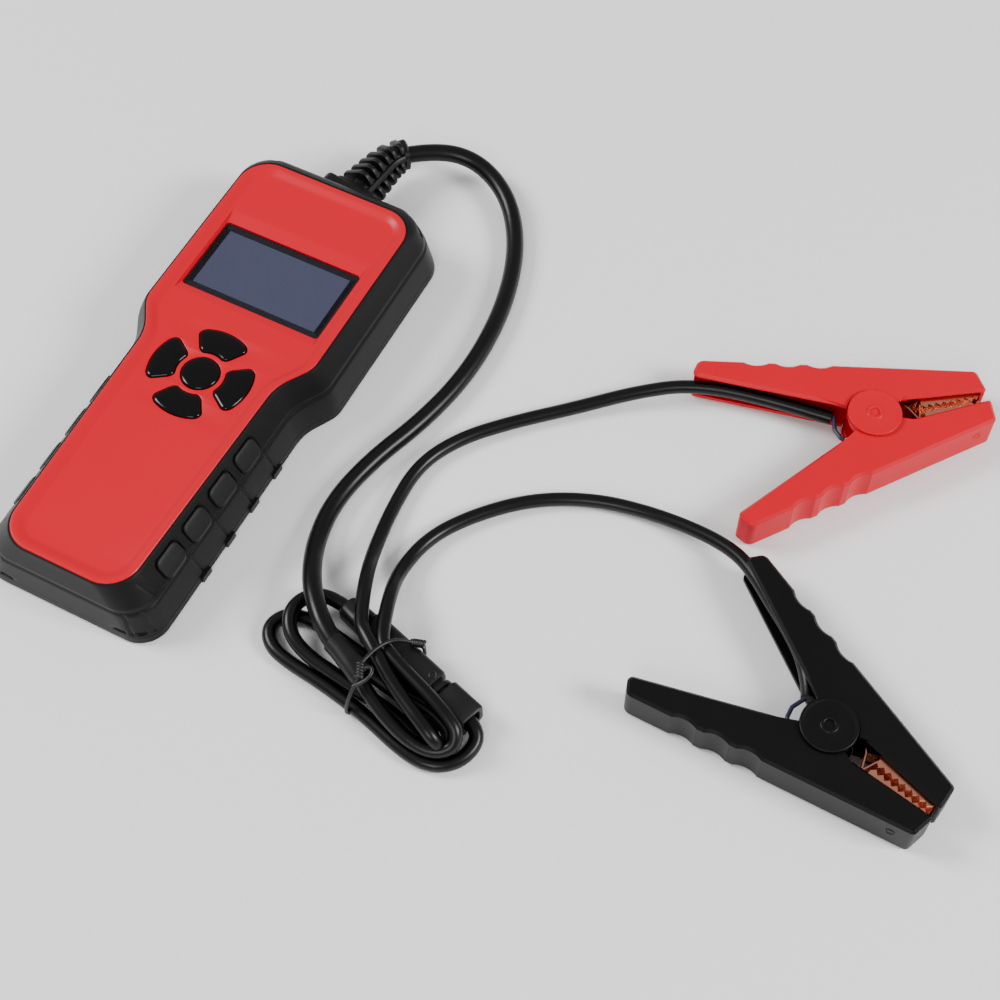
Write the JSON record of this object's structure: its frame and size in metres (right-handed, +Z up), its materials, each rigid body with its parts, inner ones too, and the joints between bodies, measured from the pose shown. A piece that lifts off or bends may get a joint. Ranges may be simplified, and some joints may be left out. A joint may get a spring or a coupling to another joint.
{
  "type": "battery tester",
  "caption": "Handheld battery tester: waisted case with display and keys, a cable bundled in a tied hank with an in-line fuse holder, and two spring clamps lying on the floor.",
  "frame": {"origin": "middle of the tester's underside, on the surface it lies on", "axes": "+Y along the tester from handle to cable end, +Z up out of the display face, +X to the right of the display"},
  "size_m": [0.3463, 0.2485, 0.027],
  "materials": {
    "case_black": "satin moulded ABS",
    "panel_red": "glossy moulded ABS",
    "grip_rubber": "soft-touch elastomer",
    "key_black": "glossy hard-coated keys",
    "window_clear": "clear acrylic",
    "mask_black": "printed border",
    "lcd_cell": "display glass with rear polariser",
    "diffuser_white": "backlight diffuser",
    "board_green": "solder-masked glass epoxy",
    "gold_contact": "plated pads",
    "silicone_grey": "silicone",
    "chip_black": "moulded epoxy",
    "relay_blue": "moulded cover",
    "ceramic_white": "unglazed ceramic",
    "can_aluminium": "capacitor can",
    "terminal_green": "moulded nylon",
    "screw_steel": "zinc-plated steel",
    "wire_insulation": "thin insulation",
    "boot_black": "moulded flexible boot",
    "cable_black": "glossy PVC jacket",
    "moulding_grey": "moulded in-line housings",
    "tie_black": "plastic-coated wire",
    "clamp_red": "moulded polypropylene",
    "clamp_black": "moulded polypropylene",
    "copper": "bright copper-plated steel",
    "spring_steel": "bright spring wire"
  },
  "bodies": {
    "root": {"rear_cover": "case_black", "front_case": "case_black", "face_panel": "panel_red", "grip_pads_left": "grip_rubber", "grip_pads_right": "grip_rubber", "lcd_window": "window_clear", "lcd_mask": "mask_black", "lcd_glass": "lcd_cell", "lcd_backlight": "diffuser_white", "lcd_board": "board_green", "header_pins": "gold_contact", "main_board": "board_green", "keypad_mat": "silicone_grey", "key_contacts": "gold_contact", "microcontroller": "chip_black", "power_relay": "relay_blue", "buzzer": "chip_black", "smoothing_capacitor": "can_aluminium", "load_resistors": "ceramic_white", "terminal_block": "terminal_green", "inner_wires": "wire_insulation", "case_screws": "screw_steel", "board_screws": "screw_steel", "strain_relief": "boot_black", "trunk_cable": "cable_black", "red_lead": "cable_black", "black_lead": "cable_black", "cable_hank": "cable_black", "y_splitter": "moulding_grey", "fuse_holder_body": "moulding_grey", "fuse_holder_cap": "moulding_grey", "cable_tie": "tie_black", "red_clamp_fixed_half": "clamp_red", "red_clamp_pivot": "clamp_red", "red_clamp_spring": "spring_steel", "red_jaw_plate_fixed": "copper", "red_sense_wire": "wire_insulation", "black_clamp_fixed_half": "clamp_black", "black_clamp_pivot": "clamp_black", "black_clamp_spring": "spring_steel", "black_jaw_plate_fixed": "copper", "black_sense_wire": "wire_insulation"},
    "key_up": {"key_up": "key_black"},
    "key_down": {"key_down": "key_black"},
    "key_left": {"key_left": "key_black"},
    "key_right": {"key_right": "key_black"},
    "key_ok": {"key_ok": "key_black"},
    "red_clamp_jaw": {"red_clamp_moving_half": "clamp_red", "red_jaw_plate_moving": "copper"},
    "black_clamp_jaw": {"black_clamp_moving_half": "clamp_black", "black_jaw_plate_moving": "copper"}
  },
  "joints": [
    {"name": "key_up_press", "type": "slide", "parent": "root", "child": "key_up", "axis": [0, 0, -1], "range_m": [0, 0.0006], "stiffness_N_per_m": 400, "springref_m": -0.002},
    {"name": "key_down_press", "type": "slide", "parent": "root", "child": "key_down", "axis": [0, 0, -1], "range_m": [0, 0.0006], "stiffness_N_per_m": 400, "springref_m": -0.002},
    {"name": "key_left_press", "type": "slide", "parent": "root", "child": "key_left", "axis": [0, 0, -1], "range_m": [0, 0.0006], "stiffness_N_per_m": 400, "springref_m": -0.002},
    {"name": "key_right_press", "type": "slide", "parent": "root", "child": "key_right", "axis": [0, 0, -1], "range_m": [0, 0.0006], "stiffness_N_per_m": 400, "springref_m": -0.002},
    {"name": "key_ok_press", "type": "slide", "parent": "root", "child": "key_ok", "axis": [0, 0, -1], "range_m": [0, 0.0006], "stiffness_N_per_m": 400, "springref_m": -0.002},
    {"name": "red_clamp_hinge", "type": "hinge", "parent": "root", "child": "red_clamp_jaw", "pos_m": [0.2253, 0.0983, 0.0085], "axis": [0, 0, -1], "range_deg": [0, 40], "stiffness_Nm_per_rad": 0.5, "springref_deg": -57.3},
    {"name": "black_clamp_hinge", "type": "hinge", "parent": "root", "child": "black_clamp_jaw", "pos_m": [0.2572, -0.0261, 0.0085], "axis": [0, 0, -1], "range_deg": [0, 40], "stiffness_Nm_per_rad": 0.5, "springref_deg": -57.3}
  ]
}
